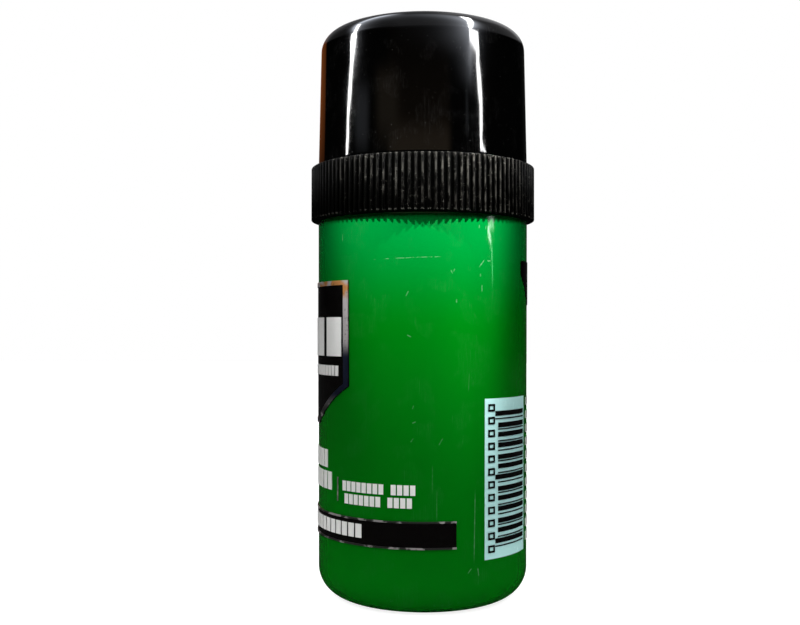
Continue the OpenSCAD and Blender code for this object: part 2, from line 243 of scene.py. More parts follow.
def arc(x, z, radius, start, end, steps=12):
    """Points of an arc in the section plane, angles in degrees."""
    turns = [math.radians(start + (end - start) * i / steps) for i in range(steps + 1)]
    return [(x + radius * math.cos(t), z + radius * math.sin(t)) for t in turns]


def softened(corner, before, after, radius, steps=5):
    """Points that round a corner of a section off, between the points before and after it."""
    p, a, b = Vector(corner), Vector(before), Vector(after)
    to_a, to_b = (a - p).normalized(), (b - p).normalized()
    half = math.acos(max(-1.0, min(1.0, to_a.dot(to_b)))) / 2
    reach = min(radius / math.tan(half), (a - p).length * 0.49, (b - p).length * 0.49)
    first, last = p + to_a * reach, p + to_b * reach
    made = []
    for i in range(steps + 1):
        t = i / steps
        made.append(tuple((1 - t) ** 2 * first + 2 * t * (1 - t) * p + t**2 * last))
    return made


def straight(start, end, gap=0.5 * MM):
    """Two points just inside the ends of a straight wall, so that the wall's shading stays straight."""
    a, b = Vector(start), Vector(end)
    step = (b - a).normalized() * gap
    return [tuple(a + step), tuple(b - step)]


def section(points):
    """A closed section from points (x, z), or (x, z, radius) where a corner is rounded off."""
    made = []
    for i, point in enumerate(points):
        if len(point) == 2:
            made.append(tuple(point))
            continue
        before, after = points[i - 1][:2], points[(i + 1) % len(points)][:2]
        made.extend(softened(point[:2], before, after, point[2]))
    return made


def turned_mesh(name, outline, steps=LATHE_STEPS):
    """Turns a section round Z. Points on the axis become one pole, and sharp corners stay sharp."""
    bm = bmesh.new()
    rings = []
    for x, z in outline:
        if x < 1e-7:
            rings.append([bm.verts.new((0, 0, z))] * steps)
        else:
            turns = [TURN * i / steps for i in range(steps)]
            rings.append([bm.verts.new((x * math.cos(t), x * math.sin(t), z)) for t in turns])
    for i, ring in enumerate(rings):
        following = rings[(i + 1) % len(rings)]
        for k in range(steps):
            n = (k + 1) % steps
            corners = list(dict.fromkeys((ring[k], ring[n], following[n], following[k])))
            if len(corners) > 2:
                bm.faces.new(corners)
    bmesh.ops.recalc_face_normals(bm, faces=bm.faces)
    for face in bm.faces:
        face.smooth = True
    for edge in bm.edges:
        if edge.is_manifold and edge.calc_face_angle(0.0) > SHARP_CORNER:
            edge.smooth = False
    mesh = bpy.data.meshes.new(name)
    bm.to_mesh(mesh)
    bm.free()
    return mesh


def placed(name, data):
    """A new object in the scene."""
    made = bpy.data.objects.new(name, data)
    bpy.context.scene.collection.objects.link(made)
    return made


def new_piece(name, mesh, material, body, slot, *nodes):
    """A finished piece that rides on a CAD body and stands for the CAD nodes named."""
    piece = placed(name, mesh)
    mesh.materials.clear()
    mesh.materials.append(material)
    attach(piece, body)
    if nodes:
        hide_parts(*nodes)
    return piece


def dress(node, material):
    """Gives a CAD node its finish."""
    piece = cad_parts[node]
    piece.data.materials.clear()
    piece.data.materials.append(material)


# Settings


class BarrelSettings(bpy.types.PropertyGroup):
    """Sizes and colours of the barrel."""

    rim_radius: FloatProperty(
        name="Rim Radius",
        description="Outer radius at the rim",
        default=high("outer_barrel").x,
        unit="LENGTH",
    )
    height: FloatProperty(
        name="Height",
        description="Height up to the grip ring",
        default=high("outer_barrel").z,
        unit="LENGTH",
    )
    draft: FloatProperty(
        name="Draft",
        description="How much narrower the barrel is at its foot",
        default=0.2 * MM,
        unit="LENGTH",
    )
    wall: FloatProperty(name="Wall", description="Wall thickness", default=1.2 * MM, unit="LENGTH")
    floor: FloatProperty(
        name="Floor", description="Floor thickness", default=1.6 * MM, unit="LENGTH"
    )
    foot_round: FloatProperty(
        name="Foot Rounding",
        description="Rounding between the side and the foot",
        default=6 * MM,
        unit="LENGTH",
    )
    foot_land: FloatProperty(
        name="Foot Land",
        description="Width of the ring that the barrel stands on",
        default=2.5 * MM,
        unit="LENGTH",
    )
    foot_recess: FloatProperty(
        name="Foot Recess",
        description="Depth of the hollow in the foot",
        default=0.6 * MM,
        unit="LENGTH",
    )
    # The two greens paint light and shade: paler near the rim, where light falls from above, and darker
    # near the foot.
    upper_green_painted_light: FloatVectorProperty(
        name="Upper Green",
        description="Colour near the rim",
        subtype="COLOR",
        default=(0.0, 0.197, 0.03),
    )
    lower_green_painted_shade: FloatVectorProperty(
        name="Lower Green",
        description="Colour near the foot",
        subtype="COLOR",
        default=(0.0, 0.155, 0.004),
    )
    gloss: FloatProperty(
        name="Roughness", description="Roughness of the clean surface", default=0.05
    )


class RingSettings(bpy.types.PropertyGroup):
    """Sizes and colours of the grip ring."""

    radius: FloatProperty(
        name="Radius",
        description="Radius over the ribs",
        default=high("grip_ring").x,
        unit="LENGTH",
    )
    bore: FloatProperty(
        name="Bore", description="Radius of the bore", default=19.53 * MM, unit="LENGTH"
    )
    rib_count: IntProperty(name="Ribs", description="Number of ribs", default=116)
    rib_depth: FloatProperty(
        name="Rib Depth",
        description="Height of a rib above the ring",
        default=0.6 * MM,
        unit="LENGTH",
    )
    rib_width: FloatProperty(
        name="Rib Width", description="Width of a rib", default=0.78 * MM, unit="LENGTH"
    )
    rib_gap: FloatProperty(
        name="Rib Gap",
        description="Height left free under and above the ribs",
        default=0.1 * MM,
        unit="LENGTH",
    )
    plastic: FloatVectorProperty(
        name="Plastic",
        description="Colour of the plastic",
        subtype="COLOR",
        default=(0.0008, 0.0008, 0.0007),
    )
    # This colour also paints the pale lines on the rib crests, which are partly dust and partly painted
    # highlight.
    dust: FloatVectorProperty(
        name="Dust",
        description="Colour of the dust on the ribs",
        subtype="COLOR",
        default=(0.05, 0.048, 0.042),
    )


class CapSettings(bpy.types.PropertyGroup):
    """Sizes and colours of the cap."""

    mouth_radius: FloatProperty(
        name="Mouth Radius",
        description="Outer radius at the mouth",
        default=high("cap").x,
        unit="LENGTH",
    )
    wall: FloatProperty(name="Wall", description="Wall thickness", default=1.5 * MM, unit="LENGTH")
    draft: FloatProperty(
        name="Draft",
        description="How much narrower the cap is at its shoulder",
        default=0.5 * MM,
        unit="LENGTH",
    )
    shoulder: FloatProperty(
        name="Shoulder Rounding",
        description="Rounding of the shoulder",
        default=3.8 * MM,
        unit="LENGTH",
    )
    dome: FloatProperty(
        name="Dome Radius", description="Radius of the low dome", default=60 * MM, unit="LENGTH"
    )
    plastic: FloatVectorProperty(
        name="Plastic",
        description="Colour of the plastic",
        subtype="COLOR",
        default=(0.0015, 0.0015, 0.0015),
    )


class PrintSettings(bpy.types.PropertyGroup):
    """Colours of the print."""

    ink_black: FloatVectorProperty(
        name="Black Ink",
        description="Colour of the black ink",
        subtype="COLOR",
        default=(0.0025, 0.002, 0.002),
    )
    ink_white: FloatVectorProperty(
        name="White Ink",
        description="Colour of the white ink",
        subtype="COLOR",
        default=(0.92, 0.92, 0.9),
    )
    panel: FloatVectorProperty(
        name="Code Panel",
        description="Colour of the pale panel",
        subtype="COLOR",
        default=(0.56, 0.93, 0.91),
    )
    # The foil colours are painted reflections of warm, grey and dark surroundings.
    foil_warm_reflection: FloatVectorProperty(
        name="Warm Foil",
        description="Warm colour of the foil",
        subtype="COLOR",
        default=(0.62, 0.27, 0.08),
    )
    foil_grey_reflection: FloatVectorProperty(
        name="Grey Foil",
        description="Grey colour of the foil",
        subtype="COLOR",
        default=(0.6, 0.56, 0.56),
    )
    foil_dark_reflection: FloatVectorProperty(
        name="Dark Foil",
        description="Colour of the foil where it mirrors the dark",
        subtype="COLOR",
        default=(0.006, 0.01, 0.03),
    )


class InnerSettings(bpy.types.PropertyGroup):
    """Colours of the pieces inside."""

    natural: FloatVectorProperty(
        name="Natural Plastic",
        description="Colour of the inner plastic",
        subtype="COLOR",
        default=(0.74, 0.75, 0.71),
    )
    wax: FloatVectorProperty(
        name="Stick",
        description="Colour of the stick",
        subtype="COLOR",
        default=(0.74, 0.77, 0.72),
    )


class StudioSettings(bpy.types.PropertyGroup):
    """The camera and the lamps."""

    camera_place: FloatVectorProperty(
        name="Camera",
        description="Where the camera stands",
        subtype="TRANSLATION",
        default=(0, -0.2109, 0.0537),
    )
    lens: FloatProperty(name="Lens", description="Focal length in millimetres", default=45.77)
    pan: FloatProperty(
        name="Pan", description="Turn of the camera to the left", default=0.0221, unit="ROTATION"
    )
    pitch: FloatProperty(
        name="Pitch", description="Upward tilt of the camera", default=0.0178, unit="ROTATION"
    )
    roll: FloatProperty(
        name="Roll", description="Roll of the camera", default=0.001, unit="ROTATION"
    )
    key_watts: FloatProperty(
        name="Key", description="Power of the lamp at the right", default=105.0, unit="POWER"
    )
    side_watts: FloatProperty(
        name="Side", description="Power of the lamp at the left", default=66.0, unit="POWER"
    )
    rear_watts: FloatProperty(
        name="Rear", description="Power of the rear lamp", default=12.0, unit="POWER"
    )
    strip_strength: FloatProperty(
        name="Strips", description="Strength of the strip lamps", default=40.0
    )
    haze_strength: FloatProperty(
        name="Haze", description="Strength of the soft glow beside the strips", default=8.0
    )
    ambient: FloatProperty(
        name="Ambient", description="Strength of the light from above", default=6.3
    )


# Finishes


# The printed fields and their inks
PRINTED = {
    "front_plaque": "black",
    "dark_band": "black",
    "rear_plaque": "black",
    "code_bars": "black",
    "code_rings": "black",
    "plaque_blocks": "white",
    "plaque_tag": "white",
    "heading_cells": "white",
    "claim_cells_print": "white",
    "band_cells": "white",
    "rear_rows": "white",
    "plaque_foil": "foil",
    "band_foil": "foil",
    "divider_line": "divider",
    "code_panel": "pale",
}
LIT_BY_SPOTS = ("barrel_shell", "grip_ring_core", "grip_ring_ribs")

# Knocks and scratches on the barrel: degrees round, height, length (mm), lean (degrees) and strength
BARREL_MARKS = (
    (-46, 71.6, 1.6, 0, 0.3),
    (31.5, 66.4, 2.2, 40, 0.5),
    (36, 67.0, 1.0, 88, 0.45),
    (30.7, 64.2, 0.7, 0, 0.45),
    (31.6, 61.7, 1.6, 0, 0.4),
    (17.3, 59.3, 0.8, 0, 0.5),
    (14.8, 64.7, 0.9, -25, 0.45),
    (16, 65.0, 0.8, 30, 0.4),
    (30, 73.4, 0.8, 0, 0.35),
    (34, 73.3, 0.8, 10, 0.35),
    (-7.7, 60.6, 1.3, 28, 0.5),
    (-6.7, 52.7, 1.0, -62, 0.7),
    (-4.7, 39.4, 0.9, 20, 0.35),
    (-4.2, 36.6, 0.9, 65, 0.35),
    (-5.2, 33.3, 1.1, 35, 0.3),
    (9.2, 33.0, 1.8, 30, 0.3),
    (5, 26, 6, 0, 0.12),
    (7.2, 21, 7, 0, 0.14),
    (27.4, 17, 15, 1, 0.4),
    (24.6, 8.7, 1.4, 42, 0.4),
    (29.6, 8.3, 1.8, -8, 0.6),
    (24, 44, 4, 3, 0.12),
)


def barrel_finish(s):
    """Glossy green plastic with fine scratches and a long hairline scuff, and painted light: its upper part
    is painted paler, as if lit from above.
    """
    f = Finish("barrel_green_gloss")
    radius = s.rim_radius
    # Painted light: the green grows paler towards the rim, standing in for the light that falls from above.
    height = f.z.rise(0.7 * s.height, s.height)
    green = f.mix(height, s.lower_green_painted_shade, s.upper_green_painted_light)
    flow = f.noise(9 * MM, detail=3, stretch=(1, 1, 4))
    green = f.mix(flow.rise(0.35, 0.7) * 0.12, green, (0.0, 0.11, 0.006))
    fine = f.scratches(radius, 0.05 * MM, 6 * MM, 82, 0.56, 3.0)
    steep = f.scratches(radius, 0.05 * MM, 8 * MM, 14, 0.6, 11.0)
    hair_height = f.z - (67.4 * MM + f.around * (0.012 * MM))
    breaks = f.noise(0.9 * MM, detail=2, shift=4).rise(0.4, 0.62)
    hair = hair_height.near(0, 0.03 * MM, 0.1 * MM) * f.around.near(-8, 15, 3) * breaks
    worn = f.z.rise(5 * MM, 1 * MM) * f.noise(0.9 * MM, detail=4, shift=9).rise(0.6, 0.7)
    knocks = hair * 0.4
    for around, height_mm, length, lean, strength in BARREL_MARKS:
        knocks = knocks + f.stroke(radius, around, height_mm * MM, length * MM, lean) * strength
    marks = (fine * 0.14 + steep * 0.12 + knocks * (0.5 + breaks * 0.5) + worn * 0.1).at_most(1.0)
    green = f.mix(marks, green, (0.16, 0.36, 0.2))
    smears = f.noise(7 * MM, detail=4, roughness=0.6, shift=2).rise(0.42, 0.75)
    rough = s.gloss + smears * 0.05 + marks * 0.3
    peel = f.noise(1.3 * MM, detail=1, shift=7) * 0.5 + f.noise(6 * MM, detail=0, shift=8)
    normal = f.bump(peel - marks * 0.5, 0.12, 0.05 * MM)
    return f.paint(Base_Color=green, Roughness=rough, IOR=1.49, Normal=normal)


def cap_finish(s):
    """Black high gloss with hair scratches and a little dust."""
    f = Finish("cap_black_gloss")
    fine = f.scratches(s.mouth_radius, 0.05 * MM, 7 * MM, 74, 0.55, 2.0)
    steep = f.scratches(s.mouth_radius, 0.05 * MM, 6 * MM, 20, 0.6, 8.0)
    dust = f.noise(0.35 * MM, detail=1, shift=6).rise(0.76, 0.8)
    marks = (fine * 0.3 + steep * 0.25 + dust * 0.5).at_most(1.0)
    black = f.mix(marks, s.plastic, (0.12, 0.12, 0.12))
    smears = f.noise(9 * MM, detail=4, roughness=0.6, shift=3).rise(0.4, 0.8)
    rough = 0.045 + smears * 0.05 + marks * 0.25
    waves = f.noise(7 * MM, detail=0, shift=1) + f.noise(1.5 * MM, detail=0, shift=5) * 0.06
    normal = f.bump(waves, 0.02, 0.1 * MM)
    return f.paint(Base_Color=black, Roughness=rough, IOR=1.5, Normal=normal)


def ring_finish(s):
    """Satin black plastic whose ribs carry pale crest lines and clumps, partly dust and partly painted
    highlight, high up on one side and all over on the lit side, with painted glints at the rib ends.
    """
    f = Finish("ring_black_satin")
    out = (f.x * f.x + f.y * f.y) ** 0.5
    # Painted highlight: pale lines on the rib crests, mixed with dust.
    crest_highlight = out.rise(s.radius - 0.16 * MM, s.radius - 0.03 * MM)
    bottom, top = low("grip_ring").z, high("grip_ring").z
    broken = f.noise(0.8 * MM, detail=4, roughness=0.7, stretch=(1, 1, 2.2)).rise(0.42, 0.62)
    wide = f.noise(4 * MM, detail=3, shift=4).rise(0.35, 0.65)
    reach = f.around.rise(-38, 8) * (8 * MM) + 3 * MM + wide * (1.5 * MM)
    lasting = (f.z - top + reach).rise(-0.6 * MM, 0.8 * MM)
    clumps = f.noise(0.55 * MM, detail=3, roughness=0.7, stretch=(1.6, 1.6, 1), shift=9).rise(0.62, 0.7)
    specks = f.noise(0.45 * MM, detail=2, shift=12).rise(0.5, 0.6)
    # Painted highlight: glints at the lower and upper ends of the ribs.
    foot = out.rise(s.radius - 0.4 * MM, s.radius - 0.15 * MM)
    foot = foot * f.z.near(bottom + 0.25 * MM, 0.15 * MM, 0.2 * MM)
    shoulder = out.rise(s.radius - 0.6 * MM, s.radius - 0.35 * MM)
    shoulder = shoulder * f.z.rise(top - 0.5 * MM, top - 0.2 * MM)
    by_rib = f.noise(1.9 * MM, detail=1, stretch=(1, 1, 8), shift=15).rise(0.4, 0.62) * 0.7 + 0.45
    # Painted light: the crest lines, clumps and glints are brighter on the right side, where the light
    # falls.
    lit_right_side = f.around.rise(-60, 0) * 0.75 + 0.25
    lines = crest_highlight * lasting * broken * (wide * 0.4 + 0.4) * by_rib * lit_right_side * 1.4
    clumps = clumps * (lasting * 0.5 + 0.25) * (wide * 0.7 + 0.2)
    # Partly dust and partly painted highlight on the crests, in the dust colour.
    dust = (lines + clumps * lit_right_side * 1.3).at_most(1.0)
    black = f.mix(dust, s.plastic, s.dust)
    # Painted glints: bright specks on scattered grains and at the rib ends, mixed in as a pale colour.
    glint_grains = f.noise(0.4 * MM, detail=2, stretch=(1.8, 1.8, 1), shift=21).rise(0.66, 0.72)
    glint_grains = glint_grains * (wide * 0.8 + 0.2)
    ends = (foot + shoulder * 0.5) * specks * (lit_right_side * 0.5 + 0.5)
    painted_glints = ends.at_least(glint_grains * (lasting * 0.4 + 0.5) * lit_right_side).at_most(1.0)
    black = f.mix(painted_glints * 0.8, black, (0.13, 0.125, 0.11))
    grain = f.noise(0.12 * MM, detail=2, shift=8)
    rough = 0.42 + broken * 0.2
    return f.paint(
        Base_Color=black,
        Roughness=rough,
        IOR=1.5,
        Specular_IOR_Level=0.04,
        Normal=f.bump(grain, 0.2, 0.03 * MM),
    )


def black_ink_finish(s):
    """Glossy black ink with pale specks and a few worn patches."""
    f = Finish("print_black_gloss")
    specks = f.noise(0.25 * MM, detail=1, shift=3).rise(0.7, 0.76)
    wear = f.noise(2.2 * MM, detail=5, roughness=0.7, shift=1).rise(0.66, 0.74)
    black = f.mix(specks * 0.3 + wear * 0.12, s.ink_black, (0.03, 0.05, 0.035))
    rough = 0.12 + f.noise(5 * MM, detail=3).rise(0.4, 0.8) * 0.1
    grain = f.noise(0.3 * MM, detail=2, shift=5)
    return f.paint(
        Base_Color=black, Roughness=rough, IOR=1.5, Normal=f.bump(grain, 0.08, 0.02 * MM)
    )


def white_ink_finish(s):
    """White ink that lies thin in places."""
    f = Finish("print_white_ink")
    thin = f.noise(0.6 * MM, detail=4, roughness=0.7, shift=2).rise(0.5, 0.75)
    white = f.mix(thin * 0.12, s.ink_white, (0.5, 0.62, 0.52))
    rough = 0.28 + thin * 0.15
    grain = f.noise(0.2 * MM, detail=2, shift=6)
    return f.paint(
        Base_Color=white, Roughness=rough, IOR=1.48, Normal=f.bump(grain, 0.15, 0.02 * MM)
    )


def panel_finish(s):
    """Pale ink with the barrel's green showing through a little where it lies thin."""
    f = Finish("print_pale_ink")
    thin = f.noise(1.4 * MM, detail=5, roughness=0.65, shift=2).rise(0.45, 0.8)
    pale = f.mix(thin * 0.15, s.panel, (0.22, 0.5, 0.42))
    rough = 0.24 + thin * 0.12
    grain = f.noise(0.22 * MM, detail=2, shift=6)
    return f.paint(
        Base_Color=pale, Roughness=rough, IOR=1.48, Normal=f.bump(grain, 0.12, 0.02 * MM)
    )


def foil_finish(s, name, low_reflection_darkness):
    """Hot foil whose colour paints reflections: warm and grey patches up high, a dark band lower down, and
    near black low on the barrel apart from glints; rubbed patches go dark too. The last argument says how
    dark the painted reflection goes low on the barrel.
    """
    f = Finish(name)
    # Painted reflection: warm patches up high, grey elsewhere.
    warm_reflection = f.noise(3.2 * MM, detail=1, shift=2.6).rise(0.45, 0.56) * f.z.rise(59.5 * MM, 61 * MM)
    foil = f.mix(warm_reflection, s.foil_grey_reflection, s.foil_warm_reflection)
    # Painted reflection: a dark band where the foil mirrors the dark.
    dark_reflection_band = f.z.near(45 * MM, 3.5 * MM, 4 * MM)
    foil = f.mix(dark_reflection_band, foil, s.foil_dark_reflection)
    rubbed = f.noise(0.8 * MM, detail=4, roughness=0.7, shift=5).rise(0.55, 0.66)
    # Painted reflection: low on the barrel the foil is painted near black, apart from scattered glints;
    # rubbed patches are real wear that also goes dark.
    reflection_glints = f.noise(2.2 * MM, detail=3, shift=8).rise(0.52, 0.6)
    dark_reflection_low = f.z.rise(42 * MM, 38 * MM)
    rubbed_and_dark_reflection = (rubbed * 0.45).at_least(dark_reflection_low * (1.0 - reflection_glints) * low_reflection_darkness)
    foil = f.mix(rubbed_and_dark_reflection, foil, (0.004, 0.004, 0.004))
    rough = 0.24 + f.noise(0.8 * MM, detail=3, shift=1) * 0.2
    grain = f.noise(0.15 * MM, detail=3, shift=3)
    return f.paint(
        Base_Color=foil, Metallic=0.6, Roughness=rough, Normal=f.bump(grain, 0.25, 0.02 * MM)
    )


def inner_finish(s):
    """Natural moulded plastic."""
    f = Finish("inner_natural_plastic")
    cloud = f.noise(6 * MM, detail=3, stretch=(1, 1, 3)).rise(0.3, 0.75)
    plastic = f.mix(cloud * 0.3, s.natural, (0.62, 0.64, 0.6))
    rough = 0.38 + cloud * 0.1
    grain = f.noise(0.25 * MM, detail=2, shift=4)
    return f.paint(
        Base_Color=plastic,
        Roughness=rough,
        IOR=1.5,
        Subsurface_Weight=0.15,
        Subsurface_Radius=(0.002, 0.002, 0.0018),
        Subsurface_Scale=0.5,
        Normal=f.bump(grain, 0.15, 0.03 * MM),
    )


def wax_finish(s):
    """Smooth waxy stick with faint pour rings and fine pits."""
    f = Finish("stick_wax")
    out = (f.x * f.x + f.y * f.y) ** 0.5
    pour = f.noise(5 * MM, detail=3, shift=2)
    # 900 radians to a metre put the pour rings 7 mm apart
    rings = out.maths("SINE", out * 900 + pour * 6) * 0.5 + 0.5
    pits = f.noise(0.7 * MM, detail=2, shift=5).rise(0.72, 0.8)
    wax = f.mix(rings * 0.1 + pits * 0.25, s.wax, (0.66, 0.7, 0.64))
    rough = 0.42 + pour * 0.15
    relief = rings * 0.25 + pour - pits
    return f.paint(
        Base_Color=wax,
        Roughness=rough,
        IOR=1.44,
        Subsurface_Weight=0.3,
        Subsurface_Radius=(0.003, 0.003, 0.0028),
        Subsurface_Scale=0.6,
        Normal=f.bump(relief, 0.3, 0.06 * MM),
    )


# Pieces


class STICK_OT_barrel(bpy.types.Operator):
    """Turns the barrel from its section, with its foot, lip and screw socket"""

    bl_idname = "stick.barrel"
    bl_label = "Barrel"

    def execute(self, context):
        s = context.scene.stick_barrel
        foot_r = s.rim_radius - s.draft
        flat_r = foot_r - s.foot_round
        floor_top = s.foot_recess + s.floor
        bore = s.rim_radius - s.wall
        inner_round = s.foot_round - s.wall
        lip_top, lip_height, lip_reach = s.height - 2 * MM, 1.4 * MM, 0.5 * MM
        socket_bore, socket_wall, socket_top = 2.63 * MM, 1.6 * MM, floor_top + 6 * MM
        gate_drop, gate_top, gate_foot = 0.25 * MM, 1.3 * MM, 1.6 * MM
        fine, edge, corner, root = 0.1 * MM, 0.15 * MM, 0.2 * MM, 0.3 * MM
        points = [
            (0, s.foot_recess - gate_drop),
            (gate_top, s.foot_recess - gate_drop, fine),
            (gate_foot, s.foot_recess, fine),
            (flat_r - s.foot_land, s.foot_recess, corner),
            (flat_r - s.foot_land + s.foot_recess, 0, corner),
            *arc(flat_r, s.foot_round, s.foot_round, -90, 0, 24),
            *straight((foot_r, s.foot_round), (s.rim_radius, s.height)),
            (s.rim_radius, s.height, edge),
            (bore, s.height, edge),
            (bore, lip_top),
            (bore - lip_reach, lip_top - lip_reach / 2),
            (bore - lip_reach, lip_top - lip_height + lip_reach / 2),
            (bore, lip_top - lip_height),
            *arc(foot_r - s.wall - inner_round, floor_top + inner_round, inner_round, 0, -90),
            (socket_bore + socket_wall, floor_top, root),
            (socket_bore + socket_wall, socket_top, fine),
            (socket_bore, socket_top, fine),
            (socket_bore, floor_top),
            (0, floor_top),
        ]
        mesh = turned_mesh("barrel_shell", section(points))
        new_piece("barrel_shell", mesh, barrel_finish(s), "barrel", "barrel_green", "outer_barrel")
        return {"FINISHED"}


class STICK_OT_cap(bpy.types.Operator):
    """Turns the cap from its section"""

    bl_idname = "stick.cap"
    bl_label = "Cap"

    def execute(self, context):
        s = context.scene.stick_cap
        bottom, top = low("cap").z, high("cap").z
        dome_z = top - s.dome
        round_x = s.mouth_radius - s.draft - s.shoulder
        round_z = dome_z + math.sqrt((s.dome - s.shoulder) ** 2 - round_x**2)
        lean = math.degrees(math.atan(s.draft / (round_z - bottom)))
        turn = math.degrees(math.atan((round_z - dome_z) / round_x))
        inside = s.dome - s.wall
        points = [
            (s.mouth_radius - s.wall, bottom, 0.2 * MM),
            (s.mouth_radius, bottom, 0.25 * MM),
            *straight((s.mouth_radius, bottom), arc(round_x, round_z, s.shoulder, lean, lean, 1)[0]),
            *arc(round_x, round_z, s.shoulder, lean, turn, 28),
            *arc(0, dome_z, s.dome, turn, 90, 24)[1:-1],
            (0, top),
            (0, top - s.wall),
            *arc(0, dome_z, inside, 90, turn, 12)[1:],
            *arc(round_x, round_z, s.shoulder - s.wall, turn, lean, 12)[1:],
        ]
        mesh = turned_mesh("cap_shell", section(points))
        new_piece("cap_shell", mesh, cap_finish(s), "cap", "cap_black", "cap")
        return {"FINISHED"}


class STICK_OT_grip_ring(bpy.types.Operator):
    """Turns the ring's core and stands its ribs round it"""

    bl_idname = "stick.grip_ring"
    bl_label = "Grip ring"

    def execute(self, context):
        s = context.scene.stick_ring
        bottom, top = low("grip_ring").z, high("grip_ring").z
        core = s.radius - s.rib_depth
        edge, upper_edge = 0.15 * MM, 0.2 * MM
        points = [
            (s.bore, bottom, edge),
            (core, bottom, edge),
            (core, top, upper_edge),
            (s.bore, top, edge),
        ]
        satin = ring_finish(s)
        mesh = turned_mesh("grip_ring_core", section(points), 2 * s.rib_count)
        new_piece("grip_ring_core", mesh, satin, "collar", "ring_black", "grip_ring")
        ribs = placed("grip_ring_ribs", bpy.data.meshes.new("grip_ring_ribs"))
        modifier = ribs.modifiers.new("ribs", "NODES")
        modifier.node_group = rib_tree()
        values = {
            "Count": s.rib_count,
            "Core Radius": core,
            "Half Depth": s.rib_depth,
            "Half Width": s.rib_width / 2,
            "Foot Height": bottom + s.rib_gap,
            "Length": top - bottom - 2 * s.rib_gap,
            "End Rounding": 0.25 * MM,
            "Finish": satin,
        }
        for item in modifier.node_group.interface.items_tree:
            if item.in_out == "INPUT" and item.name in values:
                modifier[item.identifier] = values[item.name]
        evaluated = ribs.evaluated_get(context.evaluated_depsgraph_get())
        mesh = bpy.data.meshes.new_from_object(evaluated)
        bpy.data.objects.remove(ribs)
        mesh.name = "grip_ring_ribs"
        new_piece("grip_ring_ribs", mesh, satin, "collar", "ring_black")
        return {"FINISHED"}


def rib_tree():
    """Geometry nodes that copy a rounded bar to each point of a circle, as ribs round a ring."""
    tree = bpy.data.node_groups.new("ring_of_ribs", "GeometryNodeTree")
    sockets = {
        "Count": "NodeSocketInt",
        "Core Radius": "NodeSocketFloat",
        "Half Depth": "NodeSocketFloat",
        "Half Width": "NodeSocketFloat",
        "Foot Height": "NodeSocketFloat",
        "Length": "NodeSocketFloat",
        "End Rounding": "NodeSocketFloat",
        "Finish": "NodeSocketMaterial",
    }
    for name, kind in sockets.items():
        tree.interface.new_socket(name, in_out="INPUT", socket_type=kind)
    tree.interface.new_socket("Geometry", in_out="OUTPUT", socket_type="NodeSocketGeometry")
    g = Nodes(tree)
    given = g.node("NodeGroupInput").socket.node.outputs
    value = {name: Value(g, given[name]) for name in sockets}
    ball = g.node("GeometryNodeMeshUVSphere", None, {"Segments": 12, "Rings": 7, "Radius": 1.0})
    place = g.node("GeometryNodeInputPosition")
    x, y, z = g.parts(place)
    half_straight = value["Length"] * 0.5 - value["End Rounding"]
    upright = z * value["End Rounding"] + z.maths("SIGN", z) * half_straight
    bar_place = g.node(
        "ShaderNodeCombineXYZ",
        None,
        {0: x * value["Half Depth"], 1: y * value["Half Width"], 2: upright},
    )
    bar = g.node("GeometryNodeSetPosition", None, {"Geometry": ball, "Position": bar_place})
    circle = g.node(
        "GeometryNodeMeshCircle", None, {"Vertices": value["Count"], "Radius": value["Core Radius"]}
    )
    index = g.node("GeometryNodeInputIndex")
    turn = index.maths("DIVIDE", index * TURN, value["Count"])
    heading = g.node("ShaderNodeCombineXYZ", None, {2: turn})
    copies = g.node(
        "GeometryNodeInstanceOnPoints", None, {"Points": circle, "Instance": bar, "Rotation": heading}
    )
    lift = g.node("ShaderNodeCombineXYZ", None, {2: value["Foot Height"] + value["Length"] * 0.5})
    raised = g.node("GeometryNodeTranslateInstances", None, {"Instances": copies, "Translation": lift})
    real = g.node("GeometryNodeRealizeInstances", None, {"Geometry": raised})
    smooth = g.node("GeometryNodeSetShadeSmooth", None, {"Geometry": real})
    made = g.node(
        "GeometryNodeSetMaterial", None, {"Geometry": smooth, "Material": value["Finish"]}
    )
    g.node("NodeGroupOutput", None, {"Geometry": made})
    return tree


class STICK_OT_print(bpy.types.Operator):
    """Gives the printed fields their inks and foils"""

    bl_idname = "stick.print"
    bl_label = "Print"

    def execute(self, context):
        s = context.scene.stick_print
        finishes = {
            "black": black_ink_finish(s),
            "white": white_ink_finish(s),
            "pale": panel_finish(s),
            # Both foils paint reflections; the number says how dark the painted reflection goes low on the
            # barrel.
            "foil": foil_finish(s, "print_hot_foil", 0.93),
            "divider": foil_finish(s, "divider_foil", 0.6),
        }
        for node, ink in PRINTED.items():
            dress(node, finishes[ink])
        return {"FINISHED"}


class STICK_OT_inside(bpy.types.Operator):
    """Finishes the sleeve, the carrier, the lift screw and the stick"""

    bl_idname = "stick.inside"
    bl_label = "Inside"

    def execute(self, context):
        s = context.scene.stick_inner
        plastic = inner_finish(s)
        for node in ("inner_sleeve", "stick_carrier", "lift_screw"):
            dress(node, plastic)
        dress("deodorant_stick", wax_finish(s))
        return {"FINISHED"}


# Studio


def bare_material(name):
    """A material whose nodes are all still to come, and its nodes."""
    material = bpy.data.materials.new(name)
    material.use_nodes = True
    n = Nodes(material.node_tree)
    n.tree.nodes.clear()
    return material, n


